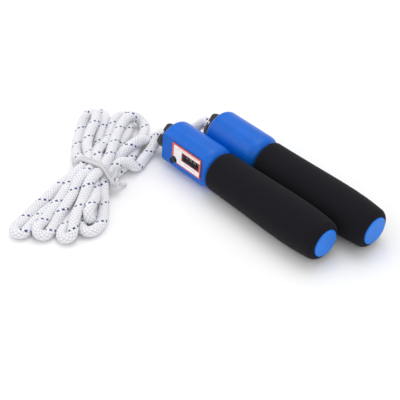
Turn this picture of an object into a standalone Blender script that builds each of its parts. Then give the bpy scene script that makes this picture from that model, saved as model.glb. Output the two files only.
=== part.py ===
"""Skipping rope with a turn counter: two foam grip handles and a tied hank of braided rope.

The handles lie side by side along X on the plane z = 0, with their end caps at +X and the rope
at -X.  The origin is under the middle of the two handles.  All sizes are metres.
"""

import math

import bmesh
import bpy
from mathutils import Vector

MM = 0.001

# Driving dimensions of a handle.  X runs along the handle, 0 at the end cap, -X to the rope.
CLEAR = 0.3 * MM            # gap between pieces that touch
BEYOND = 30.0 * MM          # how far a cutter reaches past the piece it cuts
GRIP_R = 16.6 * MM          # largest radius of the foam grip
HEAD_R = 16.6 * MM          # barrel radius of the head
HEAD_WALL = 1.8 * MM
HEAD_END_X = -155.5 * MM    # rope end of the head
SHOULDER_X = -112.5 * MM    # the barrel rounds off from here towards the grip
NECK_X = -105.4 * MM        # grip end of the head
NECK_R = 12.6 * MM
FLAT = 12.0 * MM            # distance of the flat counter face from the handle's axis
SHOULDER_ROUND = 8.0 * MM
RIM_ROUND = 3.5 * MM        # round of the head's rope end
GRIP_X = -105.0 * MM        # head end of the foam
TUBE_R = 11.0 * MM
TUBE_WALL = 1.6 * MM
CAP_R = 10.6 * MM
CAP_PROUD = 0.3 * MM
CAP_DEPTH = 12.0 * MM       # how far the cap's plug goes into the core tube
CAP_WALL = 1.5 * MM
FOAM_END_ROUND = 5.5 * MM
FOAM_HEAD_ROUND = 2.4 * MM
FOAM_BELLY = [(-80, 15.7), (-60, 16.25), (-38, 16.6), (-20, 16.35), (-11, 15.75)]
COVER_X = -152.6 * MM       # inner face of the bearing cover

# Placing of the two handles
AXIS_HEIGHT = max(GRIP_R, HEAD_R)
HANDLE_GAP = 0.8 * MM
SPACING = 2 * AXIS_HEIGHT + HANDLE_GAP
REAR_ADVANCE = 14.6 * MM    # the rear handle lies this much nearer +X
FRONT_ROLL = math.radians(-5.5)

# Rope swivel
HUB_X = -155.9 * MM
HUB_R = 9.6 * MM
FORK_X = -165.6 * MM        # tips of the fork's two ears
FORK_ROOT_X = -160.0 * MM
EAR_HALF_WIDTH = 4.3 * MM
EAR_TURN = math.radians(-42.0)
SOCKET_R = 4.6 * MM
SOCKET_X = -157.5 * MM
SPINDLE_R = 2.5 * MM
SPINDLE_TIP_R = 0.75 * MM   # the counter handle's spindle ends in a journal for its pinion
DRIVEN_TIP_X = -147.3 * MM
PLAIN_TIP_R = 2.3 * MM
GROOVE_R = 1.7 * MM         # groove for the retaining clip
GROOVE_X = (COVER_X + 0.4 * MM, COVER_X + 1.4 * MM)
EAR_ROUND = 2.4 * MM
CLIP_R = (2.0 * MM, 4.2 * MM)
CLIP_THICK = 0.5 * MM
CLIP_MOUTH = 2.4 * MM

# Turn counter.  Y and Z are measured from the handle's axis, before the handle's roll.
COUNT_AXIS = (-2.6 * MM, 2.7 * MM)
LAY_AXIS = (5.13 * MM, 4.77 * MM)
TRANSFER_AXIS = (4.12 * MM, -2.34 * MM)
DRIVE_MODULE = 0.5 * MM
COUNT_MODULE = 0.4 * MM
TRANSFER_MODULE = 0.6 * MM
WHEEL_R = 7.0 * MM
WHEEL_PITCH = 4.2 * MM
UNITS_X = -116.65 * MM      # middle of the units wheel's place
SHAFT_R = 0.9 * MM
JOURNAL_R = 0.8 * MM
JOURNAL_HOLE_R = JOURNAL_R + CLEAR
DRIVE_PINION_X = (-150.6 * MM, -147.6 * MM)
LARGE_GEAR_X = (-150.2 * MM, -148.2 * MM)
SMALL_GEAR_X = (-148.6 * MM, -137.0 * MM)
JOURNAL_X = (COVER_X - 1.0 * MM, -135.3 * MM)
COUNT_GEAR_X = (-146.5 * MM, -144.5 * MM)
COUNT_SHAFT_X = (-146.4 * MM, -111.9 * MM)
TRANSFER_SHAFT_X = (-135.9 * MM, -112.9 * MM)
SMALL_TEETH, LARGE_TEETH, COUNT_TEETH, RING_TEETH = 8, 20, 32, 20
FRAME_WALL = 1.4 * MM
FRAME_X = (-136.4 * MM, -112.6 * MM)
FRAME_Y = (-6.0 * MM, 10.4 * MM)
FRAME_Z = (-6.5 * MM, 8.5 * MM)

# Counter face
LABEL_CENTRE = (-127.6 * MM, 1.9 * MM)
LABEL_SIZE = (30.6 * MM, 16.2 * MM)
LABEL_THICK = 0.7 * MM
WINDOW_CENTRE = (-122.95 * MM, 2.7 * MM)
WINDOW_SIZE = (17.0 * MM, 5.8 * MM)
BUTTON_CENTRE = (-140.3 * MM, -4.2 * MM)
BUTTON_R = 2.5 * MM
BUTTON_PROUD = 2.2 * MM
BUTTON_FLANGE = 0.8 * MM
SCOOP_R = 2.0 * MM
SCOOP_SHIFT = (-3.4 * MM, -3.2 * MM)

# Rope
ROPE_R = 4.0 * MM
HANK_HEIGHT = 20.0 * MM
TIE_CENTRE = (-95.7 * MM, -81.8 * MM)
TIE_HEIGHT = 11.7 * MM      # middle of the tie above the table
TIE_TURN = math.atan2(8.0, 26.0)
TIE_CORE = (29.0 * MM, 18.0 * MM)
TIE_THICK = 2.5 * MM
TIE_LENGTH = 9.0 * MM

FRONT_X = 76.05 * MM        # end cap plane of the front handle

# Outline of the tied hank on the table, in millimetres.
HANK_OUTLINE = [
    (-84, -34), (-114, -34), (-113, -17), (-120, -6), (-136, -2), (-154, -9), (-168, -23),
    (-172, -38), (-163, -53), (-146, -63), (-128, -76), (-114, -86), (-110, -105), (-105, -130),
    (-99, -152), (-91, -166), (-76, -169), (-61, -160), (-46, -148), (-36, -132), (-38, -120),
    (-50, -109), (-66, -94), (-78, -82), (-81, -72), (-78, -64), (-73, -57), (-73, -46),
    (-77, -38),
]

# Route of each lead from its swivel to the hank, in millimetres.
FRONT_LEAD = [
    (-81.75, -17, 16.6), (-86.5, -17, 16.6), (-90.9, -17, 16.6), (-94.6, -17.7, 15.4),
    (-96.5, -19.7, 12.2), (-96.4, -22.1, 9.2), (-96.2, -24.6, 7.7), (-96.2, -27.6, 7.6),
    (-96.2, -30.6, 7.6), (-96.2, -33.6, 7.6),
]
REAR_LEAD = [
    (-67.15, 17, 16.6), (-72, 17, 16.6), (-76, 17, 16.6), (-80.5, 16.6, 15.4), (-85.2, 15, 12.6),
    (-90.6, 11.5, 9), (-96.1, 5.6, 5.9), (-101, -3, 4.6), (-104.4, -13, 4.3), (-105.6, -23, 4.3),
    (-105.6, -28.5, 4.3), (-105.6, -33.7, 4.3),
]


def clear_scene():
    for item in list(bpy.data.objects):
        bpy.data.objects.remove(item, do_unlink=True)


def material(name, colour, roughness, metallic=0.0):
    made = bpy.data.materials.new(name)
    made.use_nodes = True
    shader = made.node_tree.nodes["Principled BSDF"]
    shader.inputs["Base Color"].default_value = (*colour, 1.0)
    shader.inputs["Roughness"].default_value = roughness
    shader.inputs["Metallic"].default_value = metallic
    return made


def axis_empty(name, place, roll):
    empty = bpy.data.objects.new(name, None)
    bpy.context.scene.collection.objects.link(empty)
    empty.location = place
    empty.rotation_euler = (roll, 0.0, 0.0)
    return empty


def finish(bm, name, finish_material, parent=None, smooth_angle=40.0):
    """Turn a closed bmesh into a named object."""
    bmesh.ops.recalc_face_normals(bm, faces=bm.faces[:])
    mesh = bpy.data.meshes.new(name)
    bm.to_mesh(mesh)
    bm.free()
    mesh.shade_smooth()
    mesh.set_sharp_from_angle(angle=math.radians(smooth_angle))
    made = bpy.data.objects.new(name, mesh)
    bpy.context.scene.collection.objects.link(made)
    made.parent = parent
    if finish_material:
        made.data.materials.append(finish_material)
    return made


def arc(centre, radius, start, end, steps):
    """Points of an arc in the profile plane, angles in degrees from +X towards +R."""
    points = []
    for k in range(steps + 1):
        turn = math.radians(start + (end - start) * k / steps)
        points.append((centre[0] + radius * math.cos(turn), centre[1] + radius * math.sin(turn)))
    return points


def lathe(name, profile, finish_material, parent=None, steps=48, ring=True):
    """Spin an (x, radius) profile about X.  A ring's profile closes on itself."""
    bm = bmesh.new()
    verts = [bm.verts.new((x, 0.0, r)) for x, r in profile]
    edges = [bm.edges.new(pair) for pair in zip(verts, verts[1:])]
    if ring:
        edges.append(bm.edges.new((verts[-1], verts[0])))
    bmesh.ops.spin(
        bm, geom=verts + edges, cent=(0, 0, 0), axis=(1, 0, 0), angle=math.tau,
        steps=steps, use_merge=True,
    )
    bmesh.ops.remove_doubles(bm, verts=bm.verts[:], dist=1e-6)
    return finish(bm, name, finish_material, parent)


def prism(name, outline, start, depth, finish_material, parent=None):
    """Extrude a closed outline of 3D points, given at `start`, by the vector `depth`."""
    bm = bmesh.new()
    face = bm.faces.new([bm.verts.new(Vector(start) + Vector(point)) for point in outline])
    grown = bmesh.ops.extrude_face_region(bm, geom=[face])
    moved = [item for item in grown["geom"] if isinstance(item, bmesh.types.BMVert)]
    bmesh.ops.translate(bm, verts=moved, vec=depth)
    return finish(bm, name, finish_material, parent)


def guide(made):
    """Mark a cutter, so that it is not part of the model."""
    made.hide_render = True
    made.display_type = "WIRE"
    return made


def box_cutter(name, low, high, parent=None):
    outline = [(0, 0, 0), (high[0] - low[0], 0, 0), (high[0] - low[0], high[1] - low[1], 0),
               (0, high[1] - low[1], 0)]
    return guide(prism(name, outline, low, (0, 0, high[2] - low[2]), None, parent))


def round_cutter(name, centre, radius, x_range, parent=None, steps=24):
    """A cylinder along X at (y, z) `centre`."""
    profile = [(x_range[0], 0), (x_range[0], radius), (x_range[1], radius), (x_range[1], 0)]
    made = guide(lathe(name, profile, None, parent, steps, ring=False))
    made.location = (0.0, centre[0], centre[1])
    return made


def combine(target, tool, operation="DIFFERENCE"):
    step = target.modifiers.new(tool.name, "BOOLEAN")
    step.operation = operation
    step.object = tool
    step.solver = "EXACT"


def gear_outline(teeth, module, phase=0.0):
    """Trapezoid teeth, thinner than half a pitch so that meshing pairs keep their backlash."""
    tip = teeth * module / 2 + 0.85 * module
    root = teeth * module / 2 - 1.1 * module
    pitch = math.tau / teeth
    points = []
    for k in range(teeth):
        middle = phase + k * pitch
        for offset, radius in ((-0.26, root), (-0.11, tip), (0.11, tip), (0.26, root)):
            turn = middle + offset * pitch
            points.append((0.0, radius * math.cos(turn), radius * math.sin(turn)))
    return points


def gear(name, teeth, module, x_range, finish_material, parent, phase=0.0):
    outline = gear_outline(teeth, module, phase)
    depth = (x_range[1] - x_range[0], 0, 0)
    return prism(name, outline, (x_range[0], 0, 0), depth, finish_material, parent)


def head_shell(name, look, parent):
    """Blue barrel: open at the rope end, with a socket for the core tube at the grip end."""
    inner = HEAD_R - HEAD_WALL
    shoulder = arc((SHOULDER_X, HEAD_R - SHOULDER_ROUND), SHOULDER_ROUND, 90, 30, 4)
    rim = arc((HEAD_END_X + RIM_ROUND, HEAD_R - RIM_ROUND), RIM_ROUND, 150.9, 90, 3)
    socket = TUBE_R + CLEAR
    profile = [
        (NECK_X, socket), (SHOULDER_X + 0.5 * MM, socket), (SHOULDER_X + 0.5 * MM, inner),
        (rim[0][0], inner), *rim, *shoulder, (NECK_X, NECK_R),
    ]
    profile = [p for k, p in enumerate(profile) if k == 0 or math.dist(p, profile[k - 1]) > 1e-6]
    return lathe(name, profile, look, parent, steps=36)


def flatten_head(shell, parent):
    """Cut the counter face, then line it inside so that the wall keeps its thickness."""
    outer = box_cutter(
        shell.name + "_face_cut", (HEAD_END_X - BEYOND, -BEYOND, -BEYOND),
        (NECK_X - 2.4 * MM, -FLAT, BEYOND), parent)
    combine(shell, outer)
    chord = math.sqrt((HEAD_R - 0.5 * MM) ** 2 - FLAT ** 2)
    lining_low = (HEAD_END_X + 0.6 * MM, -FLAT, -chord)
    lining_high = (SHOULDER_X + 0.6 * MM, -FLAT + HEAD_WALL, chord)
    lining = box_cutter(shell.name + "_face_wall", lining_low, lining_high, parent)
    combine(shell, lining, "UNION")


def bearing_cover(name, look, parent, flat):
    """Disc that closes the rope end and carries the spindle and the layshaft's pivot."""
    radius = HEAD_R - HEAD_WALL - CLEAR
    rim = arc((HEAD_END_X + RIM_ROUND, HEAD_R - RIM_ROUND), RIM_ROUND, 180, 156, 1)
    profile = [
        (COVER_X, SPINDLE_R + CLEAR), (HEAD_END_X, SPINDLE_R + CLEAR), *rim,
        (rim[-1][0] + 0.2 * MM, radius), (COVER_X, radius),
    ]
    cover = lathe(name, profile, look, parent, steps=28)
    if flat:
        edge = -FLAT + HEAD_WALL + CLEAR
        combine(cover, box_cutter(
            name + "_flat_cut", (HEAD_END_X - BEYOND, -BEYOND, -BEYOND),
            (COVER_X + BEYOND, edge, BEYOND), parent))
        pivot_end = COVER_X - 1.4 * MM
        combine(cover, round_cutter(
            name + "_pivot", LAY_AXIS, JOURNAL_HOLE_R, (pivot_end, COVER_X + 2 * MM), parent))
    return cover


def swivel(name, look, parent, drives_counter):
    """Fork that holds the rope's end, in one piece with its spindle."""
    groove, collar = GROOVE_X, GROOVE_X[1] + 0.3 * MM
    tip_x = DRIVEN_TIP_X if drives_counter else groove[1] + 0.6 * MM
    tip_r = SPINDLE_TIP_R if drives_counter else PLAIN_TIP_R
    ear_end = arc((FORK_X + EAR_ROUND, HUB_R - EAR_ROUND), EAR_ROUND, 90, 180, 3)
    profile = [
        (tip_x, 0), (tip_x, tip_r), (collar, tip_r), (collar, PLAIN_TIP_R),
        (groove[1], PLAIN_TIP_R), (groove[1], GROOVE_R), (groove[0], GROOVE_R),
        (groove[0], SPINDLE_R), (HUB_X, SPINDLE_R), (HUB_X, HUB_R - 0.8 * MM),
        (HUB_X - 0.8 * MM, HUB_R), *ear_end, (FORK_X, 0),
    ]
    profile = [p for k, p in enumerate(profile) if k == 0 or math.dist(p, profile[k - 1]) > 1e-6]
    fork = lathe(name, profile, look, parent, steps=24, ring=False)
    outside = FORK_X - 4 * MM
    combine(fork, round_cutter(name + "_socket", (0, 0), SOCKET_R, (outside, SOCKET_X), parent))
    for side, low, high in (("near", -BEYOND, -EAR_HALF_WIDTH), ("far", EAR_HALF_WIDTH, BEYOND)):
        cutter = box_cutter(
            f"{name}_{side}_side", (outside, low, -BEYOND), (FORK_ROOT_X, high, BEYOND), parent)
        cutter.rotation_euler = (EAR_TURN, 0, 0)
        combine(fork, cutter)
    return fork


def retaining_clip(name, look, parent):
    """Snap ring in the spindle's groove, open on one side."""
    low, high = CLIP_R
    x = (GROOVE_X[0] + GROOVE_X[1] - CLIP_THICK) / 2
    profile = [(x, low), (x, high), (x + CLIP_THICK, high), (x + CLIP_THICK, low)]
    clip = lathe(name, profile, look, parent, steps=18)
    mouth = box_cutter(
        name + "_mouth", (x - MM, -CLIP_MOUTH / 2, -1.5 * high),
        (x + 2 * MM, CLIP_MOUTH / 2, 0), parent)
    combine(clip, mouth)
    return clip


def core_tube(name, look, parent):
    inner = TUBE_R - TUBE_WALL
    ends = (SHOULDER_X + 1.0 * MM, -3.2 * MM)
    profile = [(ends[0], inner), (ends[0], TUBE_R), (ends[1], TUBE_R), (ends[1], inner)]
    return lathe(name, profile, look, parent, steps=24)


def foam_grip(name, look, parent):
    """Foam sleeve: slimmer at the head, fullest past its middle, rounded at both ends."""
    bore = TUBE_R + CLEAR
    head_round = arc((GRIP_X + FOAM_HEAD_ROUND, 13.0 * MM), FOAM_HEAD_ROUND, 180, 90, 2)
    cap_round = arc((-5.8 * MM, 9.6 * MM), FOAM_END_ROUND, 90, 13.7, 3)
    lip = CAP_R + CLEAR
    profile = [
        (GRIP_X, bore), *head_round, *[(x * MM, r * MM) for x, r in FOAM_BELLY], *cap_round,
        (-2.6 * MM, lip), (-2.6 * MM, bore),
    ]
    return lathe(name, profile, look, parent, steps=36)


def end_cap(name, look, parent):
    plug = TUBE_R - TUBE_WALL - CLEAR
    back = -2.9 * MM
    profile = [
        (CAP_PROUD, 0), (CAP_PROUD, CAP_R - 0.5 * MM), (CAP_PROUD - 0.5 * MM, CAP_R),
        (back, CAP_R), (back, plug), (-CAP_DEPTH, plug), (-CAP_DEPTH, plug - CAP_WALL),
        (-1.6 * MM, plug - CAP_WALL), (-1.6 * MM, 0),
    ]
    return lathe(name, profile, look, parent, steps=28, ring=False)


def handle_common(side, looks, parent, flat):
    """The pieces that both handles have."""
    shell = head_shell(side + "_head_shell", looks["blue"], parent)
    if flat:
        flatten_head(shell, parent)
    bearing_cover(side + "_bearing_cover", looks["blue"], parent, flat)
    swivel(side + "_swivel", looks["black"], parent, drives_counter=flat)
    retaining_clip(side + "_retaining_clip", looks["steel"], parent)
    core_tube(side + "_core_tube", looks["grey"], parent)
    foam_grip(side + "_foam_grip", looks["foam"], parent)
    end_cap(side + "_end_cap", looks["cap"], parent)
    return shell


def open_counter_face(shell, parent):
    """Cut the viewing window and the button's hole and finger scoop through the face."""
    half_x = WINDOW_SIZE[0] / 2 - 0.7 * MM
    half_z = WINDOW_SIZE[1] / 2 - 0.4 * MM
    x, z = WINDOW_CENTRE
    combine(shell, box_cutter(
        "window_cut", (x - half_x, -FLAT - 2 * MM, z - half_z),
        (x + half_x, -FLAT + 4 * MM, z + half_z), parent))
    hole = round_cutter("button_cut", (0, 0), BUTTON_R + CLEAR, (-4 * MM, 4 * MM), parent, 24)
    hole.location = (BUTTON_CENTRE[0], -FLAT, BUTTON_CENTRE[1])
    hole.rotation_euler = (0, 0, math.radians(90))
    combine(shell, hole)
    scoop = round_cutter("scoop_cut", (0, 0), SCOOP_R, (-MM, 2 * MM), parent, 20)
    scoop.location = (
        BUTTON_CENTRE[0] + SCOOP_SHIFT[0], -FLAT, BUTTON_CENTRE[1] + SCOOP_SHIFT[1])
    scoop.rotation_euler = (0, 0, math.radians(-90))
    combine(shell, scoop)


def face_plate(name, centre, size, y_range, look, parent):
    """Flat rectangular plate on the counter face."""
    half_x, half_z = size[0] / 2, size[1] / 2
    outline = [(-half_x, 0, -half_z), (half_x, 0, -half_z), (half_x, 0, half_z),
               (-half_x, 0, half_z)]
    depth = (0, y_range[1] - y_range[0], 0)
    return prism(name, outline, (centre[0], y_range[0], centre[1]), depth, look, parent)


def counter_label(looks, parent):
    face = -FLAT - CLEAR
    layers = (face - LABEL_THICK, face)
    label = face_plate(
        "front_counter_label", LABEL_CENTRE, LABEL_SIZE, layers, looks["label"], parent)
    x, z = WINDOW_CENTRE
    half_x, half_z = WINDOW_SIZE[0] / 2, WINDOW_SIZE[1] / 2
    combine(label, box_cutter(
        "label_window_cut", (x - half_x, -FLAT - 4 * MM, z - half_z),
        (x + half_x, -FLAT + MM, z + half_z), parent))
    notch = round_cutter("label_notch", (0, 0), BUTTON_R + 0.5 * MM, (-4 * MM, 4 * MM), parent, 24)
    notch.location = (BUTTON_CENTRE[0], -FLAT, BUTTON_CENTRE[1])
    notch.rotation_euler = (0, 0, math.radians(90))
    combine(label, notch)
    combine(label, box_cutter(
        "label_corner", (BUTTON_CENTRE[0] - BEYOND, -BEYOND, BUTTON_CENTRE[1] - BEYOND),
        (BUTTON_CENTRE[0], BEYOND, BUTTON_CENTRE[1]), parent))
    pane = (WINDOW_SIZE[0] - 2 * CLEAR, WINDOW_SIZE[1] - 2 * CLEAR)
    face_plate("front_counter_window", WINDOW_CENTRE, pane, layers, looks["window"], parent)


def reset_button(looks, parent):
    """Push button whose flange bears behind the face."""
    flange = FLAT - HEAD_WALL - 0.6 * MM
    pivot = axis_empty("front_reset_button_axis", (BUTTON_CENTRE[0], 0, BUTTON_CENTRE[1]), 0.0)
    pivot.rotation_euler = (0, 0, math.radians(-90))
    pivot.parent = parent
    top = FLAT + BUTTON_PROUD
    profile = [
        (top, 0), (top, BUTTON_R - 0.5 * MM), (top - 0.5 * MM, BUTTON_R), (flange, BUTTON_R),
        (flange, BUTTON_R + BUTTON_FLANGE), (flange - BUTTON_FLANGE, BUTTON_R + BUTTON_FLANGE),
        (flange - BUTTON_FLANGE, 0),
    ]
    return lathe("front_reset_button", profile, looks["black"], pivot, steps=18, ring=False)


def shaft_empty(name, axis, parent):
    empty = axis_empty(name, (0.0, axis[0], axis[1]), 0.0)
    empty.parent = parent
    return empty


def drive_train(looks, parent):
    """Spindle pinion, compound gear and count gear: ten turns of the rope to one of the units."""
    pinion = gear("front_drive_pinion", SMALL_TEETH, DRIVE_MODULE, DRIVE_PINION_X,
                  looks["nylon"], parent)
    through = (DRIVE_PINION_X[0] - MM, DRIVE_PINION_X[1] + MM)
    combine(pinion, round_cutter(
        "drive_bore", (0, 0), SPINDLE_TIP_R + CLEAR, through, parent, 10))

    lay = shaft_empty("front_layshaft_axis", LAY_AXIS, parent)
    lay_turn = math.atan2(LAY_AXIS[1], LAY_AXIS[0])
    large_phase = lay_turn + math.pi + math.pi / LARGE_TEETH
    compound = gear("front_compound_gear", LARGE_TEETH, DRIVE_MODULE, LARGE_GEAR_X,
                    looks["nylon"], lay, large_phase)
    small = guide(gear("compound_small", SMALL_TEETH, COUNT_MODULE, SMALL_GEAR_X, None, lay))
    journal = round_cutter("compound_journal", (0, 0), JOURNAL_R, JOURNAL_X, lay, 10)
    combine(compound, small, "UNION")
    combine(compound, journal, "UNION")

    count = shaft_empty("front_count_axis", COUNT_AXIS, parent)
    across = (LAY_AXIS[0] - COUNT_AXIS[0], LAY_AXIS[1] - COUNT_AXIS[1])
    count_turn = math.atan2(across[1], across[0])
    small_step = math.tau / SMALL_TEETH
    offset = ((count_turn + math.pi) % small_step) / small_step
    count_phase = count_turn + (0.5 + offset) * math.tau / COUNT_TEETH
    wheel = gear("front_count_gear", COUNT_TEETH, COUNT_MODULE, COUNT_GEAR_X,
                 looks["nylon"], count, count_phase)
    shaft = round_cutter("count_shaft", (0, 0), SHAFT_R, COUNT_SHAFT_X, count, 12)
    combine(wheel, shaft, "UNION")
    return count


def digit_wheel(name, place, looks, count):
    """One digit drum with its transfer gear ring beside it."""
    middle = UNITS_X - place * WHEEL_PITCH
    low, rim = middle - WHEEL_PITCH / 2, middle + 0.3 * MM
    profile = [(low, SHAFT_R + CLEAR), (low, WHEEL_R), (rim, WHEEL_R), (rim, SHAFT_R + CLEAR)]
    drum = lathe(name, profile, looks["digit"], count, steps=20)
    ring_end = middle + WHEEL_PITCH / 2 - CLEAR
    ring = guide(gear(name + "_ring", RING_TEETH, TRANSFER_MODULE, (rim - 0.4 * MM, ring_end),
                      None, count, transfer_phase()))
    combine(drum, ring, "UNION")
    bore = round_cutter(
        name + "_bore", (0, 0), SHAFT_R + CLEAR, (low - MM, ring_end + MM), count, 12)
    combine(drum, bore)
    return drum


def transfer_phase():
    """Turn of the ring gears that puts a gap on the line to the transfer shaft."""
    across = (TRANSFER_AXIS[0] - COUNT_AXIS[0], TRANSFER_AXIS[1] - COUNT_AXIS[1])
    return math.atan2(across[1], across[0]) + math.pi / RING_TEETH


def transfer_train(looks, parent):
    """Fixed shaft with the three pinions that carry from wheel to wheel."""
    shaft = shaft_empty("front_transfer_axis", TRANSFER_AXIS, parent)
    x0, x1 = TRANSFER_SHAFT_X
    profile = [(x0, 0), (x0, JOURNAL_R), (x1, JOURNAL_R), (x1, 0)]
    lathe("front_transfer_shaft", profile, looks["steel"], shaft, steps=12, ring=False)
    facing = transfer_phase() - math.pi / RING_TEETH + math.pi
    for place, name in ((1, "tens"), (2, "hundreds"), (3, "thousands")):
        middle = UNITS_X - place * WHEEL_PITCH
        pinion = gear(f"front_{name}_pinion", SMALL_TEETH, TRANSFER_MODULE,
                      (middle + 0.6 * MM, middle + 1.5 * MM), looks["nylon"], shaft, facing)
        combine(pinion, round_cutter(
            name + "_pinion_bore", (0, 0), JOURNAL_HOLE_R, (middle - MM, middle + 3 * MM),
            shaft, 10))


def counter_frame(looks, parent):
    """U-shaped frame that carries the three shafts."""
    wall = FRAME_WALL
    x0, x1 = FRAME_X
    mouth, back = FRAME_Y
    outline = [
        (x0, mouth, 0), (x0, back, 0), (x1, back, 0), (x1, mouth, 0), (x1 - wall, mouth, 0),
        (x1 - wall, back - wall, 0), (x0 + wall, back - wall, 0), (x0 + wall, mouth, 0),
    ]
    frame = prism("front_counter_frame", outline, (0, 0, FRAME_Z[0]),
                  (0, 0, FRAME_Z[1] - FRAME_Z[0]), looks["grey"], parent)
    both_walls = (x0 - 2 * MM, x1 + 2 * MM)
    rope_wall = (x0 - 2 * MM, x0 + 2 * wall)
    for name, axis, radius, reach in (("count", COUNT_AXIS, SHAFT_R + CLEAR, both_walls),
                                      ("transfer", TRANSFER_AXIS, JOURNAL_HOLE_R, both_walls),
                                      ("lay", LAY_AXIS, JOURNAL_HOLE_R, rope_wall)):
        combine(frame, round_cutter(f"frame_{name}_hole", axis, radius, reach, parent, 12))
    return frame


def smooth_route(route, spacing):
    """Catmull-Rom curve through the route's points, read off every `spacing`."""
    ends = [2 * route[0] - route[1], *route, 2 * route[-1] - route[-2]]
    dense = []
    for k in range(1, len(ends) - 2):
        a, b, c, d = ends[k - 1:k + 3]
        for step in range(24):
            t = step / 24
            dense.append(0.5 * (2 * b + (c - a) * t + (2 * a - 5 * b + 4 * c - d) * t ** 2
                                + (3 * b - a - 3 * c + d) * t ** 3))
    dense.append(route[-1])
    total = sum((q - p).length for p, q in zip(dense, dense[1:]))
    count = max(2, round(total / spacing))
    points, walked, target = [dense[0]], 0.0, total / count
    for p, q in zip(dense, dense[1:]):
        step = (q - p).length
        while walked + step >= target and len(points) < count:
            points.append(p.lerp(q, (target - walked) / step))
            target += total / count
        walked += step
    return points + [dense[-1]]


def rope_tube(name, route, look):
    """Round rope along a route: a bevelled poly curve with filled caps."""
    points = smooth_route([Vector(p) * MM for p in route], 2.2 * ROPE_R)
    curve = bpy.data.curves.new(name, "CURVE")
    curve.dimensions = "3D"
    curve.bevel_depth = ROPE_R
    curve.bevel_resolution = 2
    curve.use_fill_caps = True
    spline = curve.splines.new("POLY")
    spline.points.add(len(points) - 1)
    for node, point in zip(spline.points, points):
        node.co = (*point, 1.0)
    curve.materials.append(look)
    made = bpy.data.objects.new(name, curve)
    bpy.context.scene.collection.objects.link(made)
    return made


def rounded_rectangle(width, height, radius, steps=3):
    points = []
    for cx, cy, start in ((1, 1, 0), (-1, 1, 90), (-1, -1, 180), (1, -1, 270)):
        centre = (cx * (width / 2 - radius), cy * (height / 2 - radius))
        points += arc(centre, radius, start, start + 90, steps)
    return points


def tie_band(name, grow, wide, x_half, look):
    """Band round the waist of the hank, `grow` outside the core and `wide` thick."""
    core_w, core_h = TIE_CORE
    inner = rounded_rectangle(core_w + 2 * grow, core_h + 2 * grow, 3 * MM + grow)
    outer = rounded_rectangle(core_w + 2 * (grow + wide), core_h + 2 * (grow + wide),
                              3 * MM + grow + wide)
    bm = bmesh.new()
    loops = []
    for y, line in ((-x_half, inner), (-x_half, outer), (x_half, outer), (x_half, inner)):
        loops.append([bm.verts.new((u, y, v)) for u, v in line])
    count = len(inner)
    for k in range(4):
        a, b = loops[k], loops[(k + 1) % 4]
        for i in range(count):
            j = (i + 1) % count
            bm.faces.new((a[i], a[j], b[j], b[i]))
    band = finish(bm, name, look)
    band.location = (TIE_CENTRE[0], TIE_CENTRE[1], TIE_HEIGHT)
    band.rotation_euler = (0, 0, TIE_TURN)
    return band


def rope_pieces(looks):
    outline = [(x * MM, y * MM, 0.0) for x, y in HANK_OUTLINE]
    hank = prism("rope_hank", outline, (0, 0, 0), (0, 0, HANK_HEIGHT), looks["rope"])
    groove = guide(tie_band("tie_groove", 0.0, 25 * MM, TIE_LENGTH / 2 + CLEAR, None))
    combine(hank, groove)
    tie_band("hank_tie", CLEAR, TIE_THICK, TIE_LENGTH / 2, looks["rope"])
    rope_tube("rope_lead_front", FRONT_LEAD, looks["rope"])
    rope_tube("rope_lead_rear", REAR_LEAD, looks["rope"])


def main():
    clear_scene()
    looks = {
        "blue": material("blue_plastic", (0.0, 0.16, 0.68), 0.32),
        "cap": material("cap_plastic", (0.01, 0.23, 0.80), 0.38),
        "black": material("black_plastic", (0.012, 0.012, 0.014), 0.42),
        "foam": material("black_foam", (0.012, 0.011, 0.014), 0.95),
        "grey": material("grey_plastic", (0.35, 0.36, 0.38), 0.55),
        "nylon": material("white_nylon", (0.80, 0.78, 0.70), 0.45),
        "digit": material("digit_drum", (0.02, 0.02, 0.02), 0.5),
        "steel": material("zinc_steel", (0.62, 0.62, 0.64), 0.3, 1.0),
        "label": material("label_print", (0.92, 0.90, 0.88), 0.4),
        "window": material("window_pane", (0.05, 0.05, 0.06), 0.08),
        "rope": material("braided_rope", (0.86, 0.86, 0.90), 0.8),
    }
    front = axis_empty("front_axis", (FRONT_X, -SPACING / 2, AXIS_HEIGHT), FRONT_ROLL)
    rear_x = FRONT_X + REAR_ADVANCE
    rear = axis_empty("rear_axis", (rear_x, SPACING / 2, AXIS_HEIGHT), 0.0)
    shell = handle_common("front", looks, front, flat=True)
    open_counter_face(shell, front)
    handle_common("rear", looks, rear, flat=False)
    counter_label(looks, front)
    reset_button(looks, front)
    count = drive_train(looks, front)
    for place, name in enumerate(("units", "tens", "hundreds", "thousands")):
        digit_wheel(f"front_{name}_wheel", place, looks, count)
    transfer_train(looks, front)
    counter_frame(looks, front)
    rope_pieces(looks)


main()
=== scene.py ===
"""Looks of a skipping rope: braided rope, foam grips, moulded heads and a turn counter.

Every size is in metres.  The handles lie along X, the rope is at -X, the table is z = 0.
"""

import math

import bmesh
import bpy
import numpy as np
from mathutils import Matrix, Vector


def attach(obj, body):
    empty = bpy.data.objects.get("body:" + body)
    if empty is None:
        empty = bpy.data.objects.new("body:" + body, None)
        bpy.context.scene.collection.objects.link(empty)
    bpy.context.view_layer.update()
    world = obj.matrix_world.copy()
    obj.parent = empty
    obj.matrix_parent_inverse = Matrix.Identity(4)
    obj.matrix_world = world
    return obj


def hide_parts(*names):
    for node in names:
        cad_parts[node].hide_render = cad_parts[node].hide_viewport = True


bl_info = {
    "name": "Jump Rope",
    "version": (1, 0, 0),
    "blender": (4, 5, 0),
    "location": "View3D > Sidebar > Jump Rope",
    "description": "Builds the visible pieces and finishes of a skipping rope with a turn counter",
    "category": "Object",
}

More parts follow.
